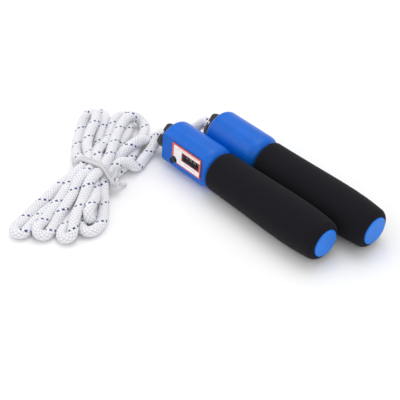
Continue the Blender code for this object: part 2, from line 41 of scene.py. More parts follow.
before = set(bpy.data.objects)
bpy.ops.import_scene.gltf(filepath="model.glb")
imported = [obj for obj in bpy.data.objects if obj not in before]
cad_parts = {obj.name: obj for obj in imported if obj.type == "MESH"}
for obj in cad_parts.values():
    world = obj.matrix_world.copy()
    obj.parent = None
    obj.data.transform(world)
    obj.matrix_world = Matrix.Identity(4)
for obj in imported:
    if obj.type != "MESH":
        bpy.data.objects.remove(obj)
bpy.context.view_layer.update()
MM = 0.001

HANDLES = "handles_and_rope"
FRONT_AXIS = Vector((0.07605, -0.017, 0.0166))
REAR_AXIS = Vector((0.09065, 0.017, 0.0166))
FRONT_ROLL = math.radians(-5.5)

# The tie round the hank, and the places of the ten runs of rope inside it.
TIE_CENTRE = (-95.7, -81.8)
TIE_TURN = math.atan2(8.0, 26.0)
TOP, MIDDLE, LOW = 16.9, 10.5, 4.2
PLACES = {
    "top_1": (-7.2, TOP), "top_2": (0.0, TOP), "top_3": (7.2, TOP),
    "mid_1": (-10.9, MIDDLE), "mid_2": (-3.6, MIDDLE), "mid_3": (3.6, MIDDLE),
    "mid_4": (10.9, MIDDLE),
    "low_1": (-7.2, LOW), "low_2": (0.0, LOW), "low_3": (7.2, LOW),
}

# How finely the rope is laid and drawn, and the tightest bend it settles to, in millimetres.
LAID_SPACING = 3.5
DRAWN_SPACING = 1.7
LEAST_BEND = 5.2
QUICK_ROUNDS, FULL_ROUNDS = 160, 420

TIE_CORD_R = 1.25
TIE_TURNS = 2
TIE_LAY = 0.006

# The rope leaves the counter handle and reaches the tie, in millimetres.
FRONT_RUN = [
    (-81.75, -17, 16.6), (-86.5, -17, 16.6), (-90.2, -17.1, 16.5), (-93.2, -18.6, 14.6),
    (-93.9, -21.3, 11.6), (-93.7, -24.8, 9), (-93.4, -29, 7), (-92.6, -34, 5.8),
    (-90.6, -39, 4.8), (-87.4, -43.4, 4.2), (-84.0, -47.4, 4), (-84.0, -51.4, 4.4),
    (-87.8, -53.6, 6), (-92.4, -56.6, 9), (-93.6, -62.5, 11.5), (-89.8, -69.8, 11.4),
]

# From the tie back to the second handle.
REAR_RUN = [
    (-95.2, -70, 13), (-97.5, -61, 14.5), (-98.9, -53, 14), (-99.8, -46, 13),
    (-101.4, -38, 11), (-103.2, -31, 8.4), (-104.4, -24.5, 6.2), (-104.2, -18, 5),
    (-103.2, -10.5, 4.5), (-100.6, -2.4, 4.6), (-96.1, 5.6, 5.9), (-90.6, 11.5, 9),
    (-85.2, 15, 12.6), (-80.5, 16.6, 15.4), (-76, 17, 16.6), (-72, 17, 16.6),
    (-67.15, 17, 16.6),
]

# Folds of the hank in the rope's own order: the place it leaves the tie from, the way out, the
# middle and radius of the bend with its tilt, the way back, and the place it comes back to.
FOLDS = [
    ("mid_4", [(-83.5, -87, 8), (-76.5, -94.5, 6), (-69, -102, 4)], (-57.5, -118.5, 4), 6.8, 0,
     [(-68.5, -117, 4), (-77.5, -106, 4)], "mid_2"),
    ("mid_2", [(-106, -62, 6), (-113, -46, 4.4), (-120, -33, 4)], (-138, -21, 4), 8.0, 8,
     [(-130, -41, 8), (-120, -54, 11), (-111, -66, 14)], "top_2"),
    ("top_2", [(-92, -95, 14), (-85, -108, 11), (-79, -121, 9)], (-75.5, -147, 4), 5.0, 10,
     [(-84, -132, 6), (-91, -116, 9), (-98, -103, 12)], "top_1"),
    ("top_1", [(-114, -75, 14), (-127, -64, 12.5), (-139, -51, 11.5)], (-152, -38, 7), 5.2, 40,
     [(-148, -55, 4), (-138, -65, 4.2), (-122, -77, 6)], "mid_1"),
    ("mid_1", [(-101.5, -99, 8), (-98.5, -113, 6), (-96, -132, 4.6)], (-86.5, -156, 5), 5.0, 25,
     [(-89, -138, 4), (-93, -122, 4), (-98, -105, 4)], "low_1"),
    ("low_1", [(-117, -69, 4), (-131, -57, 4), (-143, -45, 4)], (-154, -29, 4), 5.2, 0,
     [(-137, -47, 4), (-124, -60, 4), (-112, -71, 4)], "low_2"),
    ("low_2", [(-89.5, -97, 4), (-83.5, -109, 4), (-74.5, -122, 4)], (-60, -136.5, 6), 4.8, 40,
     [(-69, -114, 10.5), (-77, -101, 12), (-86, -89, 14)], "top_3"),
    ("top_3", [(-99, -66, 14), (-108, -54, 12.5), (-117, -42, 11)], (-124.5, -17, 7), 9.0, 20,
     [(-106, -26, 4), (-100, -40, 4), (-95, -56, 4)], "low_3"),
    ("low_3", [(-82, -89, 6), (-75.5, -98, 8), (-69, -105, 8.5)], (-61.5, -113.5, 9), 4.3, 65,
     [(-72, -104, 14), (-80, -92, 12.5)], "mid_3"),
]


# ---------------------------------------------------------------- settings

class RopeSettings(bpy.types.PropertyGroup):
    diameter: bpy.props.FloatProperty(
        name="Diameter", description="Thickness of the braided rope",
        default=0.008, unit="LENGTH")
    lay: bpy.props.FloatProperty(
        name="Lay", description="Length of one turn of a tracer yarn round the rope",
        default=0.0195, unit="LENGTH")
    colour: bpy.props.FloatVectorProperty(
        name="Yarn", description="Colour of the braid", subtype="COLOR", size=3,
        default=(0.90, 0.90, 0.945))
    tracer: bpy.props.FloatVectorProperty(
        name="Tracer", description="Colour of the tracer yarn", subtype="COLOR", size=3,
        default=(0.018, 0.022, 0.20))


class HandleSettings(bpy.types.PropertyGroup):
    blue: bpy.props.FloatVectorProperty(
        name="Heads", description="Colour of the moulded heads", subtype="COLOR", size=3,
        default=(0.0, 0.128, 0.62))
    cap: bpy.props.FloatVectorProperty(
        name="Caps", description="Colour of the end caps", subtype="COLOR", size=3,
        default=(0.008, 0.20, 0.80))
    foam: bpy.props.FloatVectorProperty(
        name="Foam", description="Colour of the foam grips", subtype="COLOR", size=3,
        default=(0.0055, 0.005, 0.0075))
    black: bpy.props.FloatVectorProperty(
        name="Swivels", description="Colour of the swivels and the button", subtype="COLOR",
        size=3, default=(0.004, 0.0038, 0.0045))
    border: bpy.props.FloatVectorProperty(
        name="Plate border", description="Colour of the border of the counter's plate",
        subtype="COLOR", size=3, default=(0.82, 0.125, 0.04))


class StageSettings(bpy.types.PropertyGroup):
    floor: bpy.props.FloatVectorProperty(
        name="Floor", description="Colour of the floor", subtype="COLOR", size=3,
        default=(0.96, 0.96, 0.965))
    lens: bpy.props.FloatProperty(
        name="Lens", description="Focal length of the camera in millimetres", default=99.1)


# ---------------------------------------------------------------- finishes

class Finish:
    """A node material built from a few named steps."""

    @classmethod
    def of(cls, made):
        """The same steps for a material that is already there."""
        look = cls.__new__(cls)
        look.made, look.tree = made, made.node_tree
        look.shader = look.tree.nodes["Principled BSDF"]
        return look

    def __init__(self, name, colour, roughness):
        self.made = bpy.data.materials.new(name)
        self.made.use_nodes = True
        self.tree = self.made.node_tree
        self.shader = self.tree.nodes["Principled BSDF"]
        self.shader.inputs["Base Color"].default_value = (*colour, 1.0)
        self.shader.inputs["Roughness"].default_value = roughness

    def node(self, kind, **values):
        made = self.tree.nodes.new("ShaderNode" + kind)
        for key, value in values.items():
            setattr(made, key, value)
        return made

    def link(self, source, target):
        self.tree.links.new(source, target)

    def set(self, **values):
        for key, value in values.items():
            self.shader.inputs[key.replace("_", " ")].default_value = value
        return self

    def maths(self, operation, *terms):
        made = self.node("Math", operation=operation)
        for socket, term in zip(made.inputs, terms):
            if isinstance(term, (int, float)):
                socket.default_value = term
            else:
                self.link(term, socket)
        return made.outputs[0]

    def mix(self, factor, low, high):
        made = self.node("Mix", data_type="RGBA")
        for socket, term in ((made.inputs[0], factor), (made.inputs[6], low),
                             (made.inputs[7], high)):
            if isinstance(term, tuple):
                socket.default_value = (*term, 1.0)
            elif isinstance(term, (int, float)):
                socket.default_value = term
            else:
                self.link(term, socket)
        return made.outputs[2]

    def place(self):
        return self.node("TexCoord").outputs["Object"]

    def on_front_handle(self):
        """Coordinates along, across and up from the counter handle's axis and cap plane."""
        moved = self.node("VectorMath", operation="SUBTRACT")
        moved.inputs[1].default_value = FRONT_AXIS
        self.link(self.place(), moved.inputs[0])
        level = self.node("VectorRotate", rotation_type="X_AXIS")
        level.inputs["Angle"].default_value = -FRONT_ROLL
        self.link(moved.outputs[0], level.inputs["Vector"])
        parts = self.node("SeparateXYZ")
        self.link(level.outputs[0], parts.inputs[0])
        return parts.outputs

    def outside(self, x, z, centre, half):
        """1 outside a rectangle of half size `half` about `centre`, 0 inside."""
        along = self.maths("ABSOLUTE", self.maths("SUBTRACT", x, centre[0]))
        up = self.maths("ABSOLUTE", self.maths("SUBTRACT", z, centre[1]))
        return self.maths("MAXIMUM", self.maths("GREATER_THAN", along, half[0]),
                          self.maths("GREATER_THAN", up, half[1]))

    def noise(self, scale, detail=2.0, rough=0.5):
        made = self.node("TexNoise")
        made.inputs["Scale"].default_value = scale
        made.inputs["Detail"].default_value = detail
        made.inputs["Roughness"].default_value = rough
        self.link(self.place(), made.inputs["Vector"])
        return made.outputs["Fac"]

    def ramp(self, value, low, high, out_low=0.0, out_high=1.0):
        made = self.node("MapRange")
        made.inputs["From Min"].default_value = low
        made.inputs["From Max"].default_value = high
        made.inputs["To Min"].default_value = out_low
        made.inputs["To Max"].default_value = out_high
        self.link(value, made.inputs["Value"])
        return made.outputs["Result"]

    def bump(self, height, distance, strength=1.0, edge=0.0):
        made = self.node("Bump")
        if edge:
            soft = self.node("Bevel", samples=8)
            soft.inputs["Radius"].default_value = edge
            self.link(soft.outputs["Normal"], made.inputs["Normal"])
        made.inputs["Strength"].default_value = strength
        made.inputs["Distance"].default_value = distance
        self.link(height, made.inputs["Height"])
        self.link(made.outputs["Normal"], self.shader.inputs["Normal"])
        return made

    def colour(self, source):
        self.link(source, self.shader.inputs["Base Color"])

    def roughness(self, source):
        self.link(source, self.shader.inputs["Roughness"])


def tinted(colour, factor):
    return tuple(min(1.0, c * factor) for c in colour)


def moulded(name, colour, roughness, grain=0.00003, scale=900.0, edge=0.0, gloss=0.5):
    """Moulded plastic: fine spark texture, faint cloudiness and uneven gloss."""
    look = Finish(name, colour, roughness)
    cloud = look.noise(60.0, 3.0)
    look.colour(look.mix(look.ramp(cloud, 0.3, 0.7), tinted(colour, 0.93), tinted(colour, 1.05)))
    look.roughness(look.ramp(look.noise(240.0, 3.0), 0.3, 0.7, roughness - 0.04, roughness + 0.05))
    look.bump(look.noise(scale, 2.0), grain, 0.6, edge)
    look.set(Specular_IOR_Level=gloss)
    return look.made


def foam_finish(colour):
    """Closed-cell foam: small open cells over a soft matte skin."""
    look = Finish("foam_finish", colour, 0.9)
    cells = look.node("TexVoronoi")
    cells.inputs["Scale"].default_value = 1500.0
    look.link(look.place(), cells.inputs["Vector"])
    cell = look.ramp(cells.outputs["Distance"], 0.0, 0.6)
    patch = look.noise(190.0, 4.0, 0.65)
    height = look.maths("ADD", look.maths("MULTIPLY", cell, 0.5), patch)
    look.bump(height, 0.00012, 0.8)
    # Painted shade: the colour follows the bump height, darker in the cell pits and low patches and
    # lighter on the raised skin.
    shade = look.ramp(height, 0.4, 1.3)
    look.colour(look.mix(shade, tinted(colour, 0.7), tinted(colour, 1.9)))
    look.roughness(look.ramp(patch, 0.3, 0.7, 0.8, 0.98))
    look.set(Sheen_Weight=0.03, Sheen_Roughness=0.5, Specular_IOR_Level=0.15)
    return look.made


def braid_finish(name, colour, tracer, strands=8):
    """Diamond braid on the piece's own map: U counts turns of the lay, V goes round the rope.

    One right-handed yarn is the tracer, and shows as a row of dashes where it passes over.
    """
    look = Finish(name, colour, 0.75)
    chart = look.node("UVMap", uv_map="braid")
    split = look.node("SeparateXYZ")
    look.link(chart.outputs["UV"], split.inputs[0])
    along, around = split.outputs[0], split.outputs[1]
    right = look.maths("MULTIPLY", look.maths("SUBTRACT", along, around), strands)
    left = look.maths("MULTIPLY", look.maths("ADD", along, around), strands)
    right_part = look.maths("FRACT", right)
    left_part = look.maths("FRACT", left)
    right_yarn = look.maths("FLOOR", right)
    left_yarn = look.maths("FLOOR", left)
    sine_right = look.maths("SINE", look.maths("MULTIPLY", right_part, math.pi))
    sine_left = look.maths("SINE", look.maths("MULTIPLY", left_part, math.pi))
    hump = look.maths("MULTIPLY", sine_right, sine_left)
    hump = look.maths("POWER", look.maths("MAXIMUM", hump, 0.0), 0.5)
    parity = look.maths("FLOORED_MODULO", look.maths("ADD", right_yarn, left_yarn), 2.0)
    over = look.maths("GREATER_THAN", parity, 0.5)
    under = look.maths("SUBTRACT", 1.0, over)
    across = look.maths("ADD", look.maths("MULTIPLY", right_part, over),
                        look.maths("MULTIPLY", left_part, under))
    strand = look.maths("ABSOLUTE", look.maths("SINE", look.maths("MULTIPLY", across, 4 * math.pi)))
    height = look.maths("ADD", hump, look.maths("MULTIPLY", strand, 0.10))
    look.bump(height, 0.00034, 1.0)
    # Painted shade: the white is darker in the hollows between the yarns and lighter on their
    # crowns.
    shade = look.ramp(hump, 0.15, 0.85)
    white = look.mix(shade, tinted(colour, 0.78), tinted(colour, 1.06))
    turn = look.maths("FLOORED_MODULO", right_yarn, float(strands))
    tracer_yarn = look.maths("LESS_THAN", turn, 0.5)
    dash = look.maths("MULTIPLY", look.maths("MULTIPLY", tracer_yarn, over),
                      look.maths("MULTIPLY", look.ramp(sine_right, 0.42, 0.60),
                                 look.ramp(sine_left, 0.0, 0.10)))
    look.colour(look.mix(dash, white, tracer))
    look.roughness(look.ramp(hump, 0.2, 0.9, 0.85, 0.62))
    look.set(Sheen_Weight=0.25, Sheen_Roughness=0.5, Specular_IOR_Level=0.35)
    return look.made


# ---------------------------------------------------------------- mesh helpers

def mesh_piece(name, verts, faces, look, smooth=True):
    mesh = bpy.data.meshes.new(name)
    mesh.from_pydata([tuple(v) for v in verts], [], faces)
    mesh.validate()
    if smooth:
        mesh.shade_smooth()
    mesh.materials.append(look)
    made = bpy.data.objects.new(name, mesh)
    bpy.context.scene.collection.objects.link(made)
    return made


def deselect():
    for item in bpy.context.selected_objects:
        item.select_set(False)


def repaint(names, look):
    """A new finish for CAD nodes that are shown as they are."""
    for name in names:
        mesh = bpy.data.objects[name].data
        mesh.materials.clear()
        mesh.materials.append(look)


# ---------------------------------------------------------------- rope

def tie_axes():
    across = np.array((math.cos(TIE_TURN), math.sin(TIE_TURN), 0.0))
    along = np.array((-math.sin(TIE_TURN), math.cos(TIE_TURN), 0.0))
    return np.array((*TIE_CENTRE, 0.0)), across, along


def place_in_tie(name, step=0.0):
    """Point of a named place in the tie, `step` millimetres along the hank from its middle."""
    centre, across, along = tie_axes()
    side, height = PLACES[name]
    return centre + across * side + along * step + np.array((0.0, 0.0, height))


def fold_bend(start, middle, radius, tilt, finish):
    """Points round the bend of a fold, from the side of `start` to the side of `finish`.

    The plane of the bend is tilted up, by `tilt` degrees, on the side that is reached from
    the higher run.
    """
    middle = np.array(middle, float)
    out = middle[:2] - (np.array(start[:2]) + np.array(finish[:2])) / 2
    out = out / np.linalg.norm(out)
    side = np.array((-out[1], out[0]))
    if np.dot(np.array(start[:2]) - np.array(finish[:2]), side) < 0:
        side = -side
    higher = 1.0 if start[2] >= finish[2] else -1.0
    flat, rise = math.cos(math.radians(tilt)), math.sin(math.radians(tilt)) * higher
    points = []
    for turn in (100, 62, 22, -22, -62, -100):
        c, s = math.cos(math.radians(turn)), math.sin(math.radians(turn))
        plan = middle[:2] + radius * (c * out + s * flat * side)
        points.append((plan[0], plan[1], max(4.0, middle[2] + radius * s * rise)))
    return points


def laid_route():
    """The rope from handle to handle as first laid, in millimetres."""
    route = [np.array(p, float) for p in FRONT_RUN]
    for leave, way_out, middle, radius, tilt, way_back, come in FOLDS:
        up = 1.0 if middle[1] > TIE_CENTRE[1] else -1.0
        route += [place_in_tie(leave, -up * 5.0), place_in_tie(leave, up * 5.0)]
        route += [np.array(p, float) for p in way_out]
        bend = fold_bend(way_out[-1], middle, radius, tilt, way_back[0])
        route += [np.array(p, float) for p in bend]
        route += [np.array(p, float) for p in way_back]
        route += [place_in_tie(come, up * 5.0)]
    route.append(place_in_tie(FOLDS[-1][-1], 5.0))
    route += [np.array(p, float) for p in REAR_RUN]
    return np.array(route)


def even_points(route, spacing):
    """Centripetal spline through a route, read off at an even spacing."""
    ends = np.vstack([2 * route[0] - route[1], route, 2 * route[-1] - route[-2]])
    dense = []
    for k in range(1, len(ends) - 2):
        p0, p1, p2, p3 = ends[k - 1:k + 3]
        t0 = 0.0
        t1 = t0 + max(np.linalg.norm(p1 - p0), 1e-6) ** 0.5
        t2 = t1 + max(np.linalg.norm(p2 - p1), 1e-6) ** 0.5
        t3 = t2 + max(np.linalg.norm(p3 - p2), 1e-6) ** 0.5
        for t in np.linspace(t1, t2, 24, endpoint=False):
            a1 = (t1 - t) / (t1 - t0) * p0 + (t - t0) / (t1 - t0) * p1
            a2 = (t2 - t) / (t2 - t1) * p1 + (t - t1) / (t2 - t1) * p2
            a3 = (t3 - t) / (t3 - t2) * p2 + (t - t2) / (t3 - t2) * p3
            b1 = (t2 - t) / (t2 - t0) * a1 + (t - t0) / (t2 - t0) * a2
            b2 = (t3 - t) / (t3 - t1) * a2 + (t - t1) / (t3 - t1) * a3
            dense.append((t2 - t) / (t2 - t1) * b1 + (t - t1) / (t2 - t1) * b2)
    dense.append(route[-1])
    dense = np.array(dense)
    walked = np.concatenate([[0.0], np.cumsum(np.linalg.norm(np.diff(dense, axis=0), axis=1))])
    count = int(round(walked[-1] / spacing))
    marks = np.linspace(0.0, walked[-1], count + 1)
    return np.array([np.interp(marks, walked, dense[:, k]) for k in range(3)]).T


def apart(pos, pairs, gap_wanted, lift):
    """Pushes runs of rope off each other, more upwards than sideways."""
    rows, cols = pairs
    gap = pos[cols] - pos[rows]
    size = np.linalg.norm(gap, axis=1)
    wanted = np.minimum(gap_wanted[rows], gap_wanted[cols])
    near = size < wanted
    i, j = rows[near], cols[near]
    way = gap[near] / np.maximum(size[near], 1e-6)[:, None]
    depth = (wanted[near] - size[near]) * 0.5
    push = way * depth[:, None]
    push[:, :2] *= 1.0 - lift
    shift = np.zeros_like(pos)
    hits = np.zeros(len(pos))
    np.add.at(shift, i, -push)
    np.add.at(shift, j, push)
    np.add.at(hits, i, 1)
    np.add.at(hits, j, 1)
    return pos + shift / np.maximum(1.0, hits * 0.6)[:, None]


def settle(points, radius, rounds):
    """Lets the laid rope come to rest: it keeps its length, can't bend sharply, and no run
    goes through another or through the table.  Millimetres."""
    pos = points.copy()
    home = points.copy()
    count = len(pos)
    spacing = np.linalg.norm(np.diff(pos, axis=0), axis=1).mean()
    centre, across, along = tie_axes()
    order = np.arange(count)
    held = np.zeros(count, bool)
    held[:5] = True
    held[-5:] = True
    pairs = np.triu_indices(count, int(math.ceil(3.2 * radius / spacing)))
    bend_step = 2
    least_chord = 2 * LEAST_BEND * math.sin(bend_step * spacing / LEAST_BEND)
    for turn in range(rounds):
        ease = turn / rounds
        pos[:, 2] -= np.where(held, 0.0, 0.05)
        pull = 0.12 * (1.0 - ease)
        pos[:, :2] += pull * (home[:, :2] - pos[:, :2])
        step = np.abs((pos - centre) @ along)
        squeeze = np.clip(1.5 - step / 10.0, 0.0, 1.0)
        offset = (pos - centre) @ across
        pos += np.outer(-0.02 * offset * squeeze, across)
        pos[:, 2] -= 0.02 * (pos[:, 2] - MIDDLE) * squeeze
        wanted = 2 * radius - 0.7 * squeeze
        smooth = 0.5 * (pos[:-2] + pos[2:]) - pos[1:-1]
        pos[1:-1] += 0.15 * smooth
        lift = 0.6 * (1.0 - ease)
        for _ in range(2):
            reach = pos[bend_step * 2:] - pos[:-bend_step * 2]
            size = np.linalg.norm(reach, axis=1)
            short = np.maximum(0.0, least_chord - size)
            push = reach / size[:, None] * (0.25 * short)[:, None]
            pos[bend_step * 2:] += push
            pos[:-bend_step * 2] -= push
            for parity in (0, 1):
                a = order[parity:count - 1:2]
                b = a + 1
                gap = pos[b] - pos[a]
                size = np.linalg.norm(gap, axis=1)
                fix = gap * ((size - spacing) / size * 0.5)[:, None]
                pos[a] += fix
                pos[b] -= fix
            pos = apart(pos, pairs, wanted, lift)
            pos[:, 2] = np.maximum(pos[:, 2], radius)
            pos[held] = home[held]
    for _ in range(3):
        pos[1:-1] = 0.25 * pos[:-2] + 0.5 * pos[1:-1] + 0.25 * pos[2:]
        pos[held] = home[held]
    pos[:, 2] = np.maximum(pos[:, 2], radius)
    return pos


def tube_piece(name, line, radius, sides, lay, look):
    """Closed round tube along a line, with a map for the braid."""
    line = np.asarray(line)
    way = np.gradient(line, axis=0)
    way /= np.linalg.norm(way, axis=1)[:, None]
    normal = np.cross(way[0], (0.0, 0.0, 1.0))
    if np.linalg.norm(normal) < 1e-3:
        normal = np.cross(way[0], (0.0, 1.0, 0.0))
    normal /= np.linalg.norm(normal)
    verts, walked = [], [0.0]
    for k, (point, ahead) in enumerate(zip(line, way)):
        normal = normal - ahead * np.dot(normal, ahead)
        normal /= np.linalg.norm(normal)
        other = np.cross(ahead, normal)
        for s in range(sides):
            a = 2 * math.pi * s / sides
            verts.append(point + radius * (math.cos(a) * normal + math.sin(a) * other))
        if k:
            walked.append(walked[-1] + np.linalg.norm(point - line[k - 1]))
    faces, chart = [], []
    for k in range(len(line) - 1):
        for s in range(sides):
            n = (s + 1) % sides
            faces.append((k * sides + s, k * sides + n, (k + 1) * sides + n, (k + 1) * sides + s))
            u0, u1 = walked[k] / lay, walked[k + 1] / lay
            v0, v1 = s / sides, (s + 1) / sides
            chart += [(u0, v0), (u0, v1), (u1, v1), (u1, v0)]
    for ring, turn in ((0, -1), (len(line) - 1, 1)):
        verts.append(line[ring])
        hub = len(verts) - 1
        for s in range(sides):
            n = (s + 1) % sides
            pair = (ring * sides + s, ring * sides + n)
            faces.append((hub, *pair) if turn > 0 else (hub, pair[1], pair[0]))
            chart += [(walked[ring] / lay, 0.0), (walked[ring] / lay, s / sides),
                      (walked[ring] / lay, n / sides)]
    made = mesh_piece(name, verts, faces, look)
    layer = made.data.uv_layers.new(name="braid")
    layer.data.foreach_set("uv", np.array(chart, np.float32).ravel())
    return made


class ROPE_OT_braided_rope(bpy.types.Operator):
    """The braided rope, laid in its hank and let settle on the table"""
    bl_idname = "rope.braided_rope"
    bl_label = "Braided rope"

    def execute(self, context):
        rope = context.scene.rope_settings
        radius = rope.diameter / MM / 2
        laid = even_points(laid_route(), LAID_SPACING)
        settled = settle(laid, radius, FULL_ROUNDS)
        line = even_points(settled, DRAWN_SPACING) * MM
        look = braid_finish("braid_finish", tuple(rope.colour), tuple(rope.tracer))
        made = tube_piece("braided_rope", line, rope.diameter / 2, 24, rope.lay, look)
        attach(made, HANDLES)
        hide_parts("rope_hank", "rope_lead_front", "rope_lead_rear")
        tie = make_tie(settled, radius)
        return {"FINISHED"}


def make_tie(settled, radius):
    """Thin cord wound twice round the waist of the hank, with a small knot on its side."""
    centre, across, along = tie_axes()
    look = braid_finish("tie_finish", (0.84, 0.84, 0.87), (0.84, 0.84, 0.87), 4)
    step = (settled - centre) @ along
    line = []
    count = 56
    for k in range(TIE_TURNS * count + 1):
        turn = 2 * math.pi * k / count
        shift = (k / count - TIE_TURNS / 2) * TIE_CORD_R * 2.1
        near = np.abs(step - shift) < 3.0
        offset = (settled[near] - centre) @ across
        height = settled[near][:, 2]
        aim = np.array((math.cos(turn), math.sin(turn)))
        mid = np.array((offset.mean(), height.mean()))
        reach = np.max((offset - mid[0]) * aim[0] + (height - mid[1]) * aim[1])
        line.append((turn, shift, mid, reach + radius + TIE_CORD_R))
    points = []
    for k, (turn, shift, mid, reach) in enumerate(line):
        ahead = line[(k + 1) % count if k < count else k - 1]
        behind = line[k - 1 if k else count - 1]
        slope = 0.0
        if 0 < k < len(line) - 1:
            slope = (line[k + 1][3] - line[k - 1][3]) / (line[k + 1][0] - line[k - 1][0])
        aim = np.array((math.cos(turn), math.sin(turn)))
        side = np.array((-math.sin(turn), math.cos(turn)))
        spot = mid + aim * reach + side * slope
        points.append(centre + across * spot[0] + along * shift
                      + np.array((0, 0, max(spot[1], TIE_CORD_R))))
    path = even_points(np.array(points)[::2], 0.8) * MM
    made = tube_piece("hank_tie_cord", path, TIE_CORD_R * MM, 12, TIE_LAY, look)
    knot = tube_piece("hank_tie_knot", knot_line(centre, across, along) * MM, TIE_CORD_R * MM,
                      10, TIE_LAY, look)
    for piece in (made, knot):
        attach(piece, HANDLES)
    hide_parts("hank_tie")
    return [made, knot]


def knot_line(centre, across, along):
    """Overhand knot with two short ends, on the side of the tie, in millimetres."""
    spot = centre + across * 16.6 + np.array((0.0, 0.0, 10.5))
    shape = [(-0.6, 5.5, 8.2), (0.6, 3.2, 4.6), (1.4, -2.0, 1.8), (3.4, -2.6, -0.6),
             (4.0, 0.2, 1.4), (2.4, 2.4, 0.4), (1.2, 1.6, -2.4), (3.2, -1.2, -3.4),
             (5.2, -1.4, -0.6), (4.2, 2.2, -1.6), (2.8, 4.0, -5.0), (4.0, 6.4, -7.6),
             (5.2, 9.6, -8.9)]
    route = np.array([spot + across * a + along * b + np.array((0.0, 0.0, c))
                      for a, b, c in shape])
    return even_points(route, 0.7)


# ---------------------------------------------------------------- grips

def turned_piece(name, profile, start, look, steps=96):
    """Round piece turned about a handle's axis from a profile of (x, radius)."""
    deselect()
    mesh = bpy.data.meshes.new(name)
    shape = bmesh.new()
    verts = [shape.verts.new((x, 0.0, r)) for x, r in profile]
    edges = [shape.edges.new((a, b)) for a, b in zip(verts, verts[1:] + verts[:1])]
    bmesh.ops.spin(shape, geom=verts + edges, cent=(0, 0, 0), axis=(1, 0, 0),
                   angle=2 * math.pi, steps=steps, use_merge=True)
    bmesh.ops.remove_doubles(shape, verts=shape.verts, dist=1e-6)
    bmesh.ops.recalc_face_normals(shape, faces=shape.faces)
    shape.to_mesh(mesh)
    shape.free()
    mesh.transform(Matrix.Translation(start))
    mesh.shade_smooth()
    mesh.materials.append(look)
    made = bpy.data.objects.new(name, mesh)
    bpy.context.scene.collection.objects.link(made)
    return made


def foam_profile():
    """Outside and bore of the sleeve: slim at the head, full near the cap, soft rounds."""
    outer = []
    for k in range(9):
        a = math.radians(180 - 90 * k / 8)
        outer.append((-102.6 + 2.4 * math.cos(a), 13.0 + 2.4 * math.sin(a)))
    belly = np.array([(-102.6, 15.4), (-80, 15.7), (-60, 16.25), (-38, 16.6), (-20, 16.35),
                      (-11, 15.75), (-5.8, 15.1)])
    xs = np.linspace(-101.5, -6.6, 44)
    fit = np.polyfit(belly[:, 0], belly[:, 1], 4)
    outer += [(x, float(np.polyval(fit, x))) for x in xs]
    for k in range(1, 13):
        a = math.radians(90 - 76 * k / 12)
        outer.append((-5.8 + 5.5 * math.cos(a), 9.6 + 5.5 * math.sin(a)))
    inner = [(-2.6, 10.9), (-2.6, 11.3), (-105.0, 11.3)]
    return [(x * MM, r * MM) for x, r in outer + inner]


class ROPE_OT_foam_grips(bpy.types.Operator):
    """The two foam sleeves on the handles"""
    bl_idname = "rope.foam_grips"
    bl_label = "Foam grips"

    def execute(self, context):
        look = foam_finish(tuple(context.scene.handle_settings.foam))
        for side, axis in (("front", FRONT_AXIS), ("rear", REAR_AXIS)):
            made = turned_piece(side + "_foam_sleeve", foam_profile(), axis, look)
            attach(made, HANDLES)
            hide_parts(side + "_foam_grip")
        return {"FINISHED"}


# ---------------------------------------------------------------- counter

UNITS_X = -0.11665
WHEEL_PITCH = 0.0042
WHEEL_R = 0.007
COUNT_AXIS = (-0.0026, 0.0027)
LABEL_CENTRE = (-0.1276, 0.0019)
LABEL_SIZE = (0.0306, 0.0162)
WINDOW_CENTRE = (-0.12295, 0.0027)
WINDOW_SIZE = (0.0170, 0.0058)
SCOOP_CENTRE = (-0.1437, -0.0074)
# Radius of the painted shadow of the reset button, a near-black disc round the recess's centre.
BUTTON_SHADOW_R = 0.0023
REST_TURN = math.radians(14)
DIGIT_HEIGHT = 0.0048
DIGIT_RELIEF = 0.00012
DIGITS = 10

# Two rows of small printed marks on the plate: centre, half size and pitch.
PRINTED_ROWS = (
    ((-0.1262, 0.0080), (0.0105, 0.00055), 0.0011),
    ((-0.1230, -0.0025), (0.0062, 0.0004), 0.0009),
)


def label_finish(border):
    """White printed plate: coloured border, frame round the window, rows of small marks."""
    look = Finish("label_finish", (0.86, 0.85, 0.86), 0.42)
    x, _, z = look.on_front_handle()
    edge = look.outside(x, z, (LABEL_CENTRE[0] + 0.0004, LABEL_CENTRE[1]),
                        (LABEL_SIZE[0] / 2 - 0.0014, LABEL_SIZE[1] / 2 - 0.0009))
    frame_ring = look.maths("SUBTRACT", 1.0, look.outside(
        x, z, WINDOW_CENTRE, (WINDOW_SIZE[0] / 2 + 0.0011, WINDOW_SIZE[1] / 2 + 0.0008)))
    marks = 0.0
    for centre, half, pitch in PRINTED_ROWS:
        row = look.maths("SUBTRACT", 1.0, look.outside(x, z, centre, half))
        strokes = look.maths("GREATER_THAN", look.maths(
            "FRACT", look.maths("DIVIDE", look.maths("ADD", x, 1.0), pitch)), 0.42)
        marks = look.maths("MAXIMUM", marks, look.maths("MULTIPLY", row, strokes))
    white = look.mix(look.ramp(look.noise(300.0, 2.0), 0.3, 0.7),
                     (0.92, 0.91, 0.92), (0.98, 0.97, 0.98))
    printed = look.mix(look.maths("MULTIPLY", marks, 0.6), white, tinted(border, 1.1))
    printed = look.mix(edge, printed, border)
    printed = look.mix(frame_ring, printed, (0.30, 0.035, 0.02))
    look.colour(printed)
    look.bump(look.noise(1500.0, 2.0), 0.00001, 0.5)
    return look.made


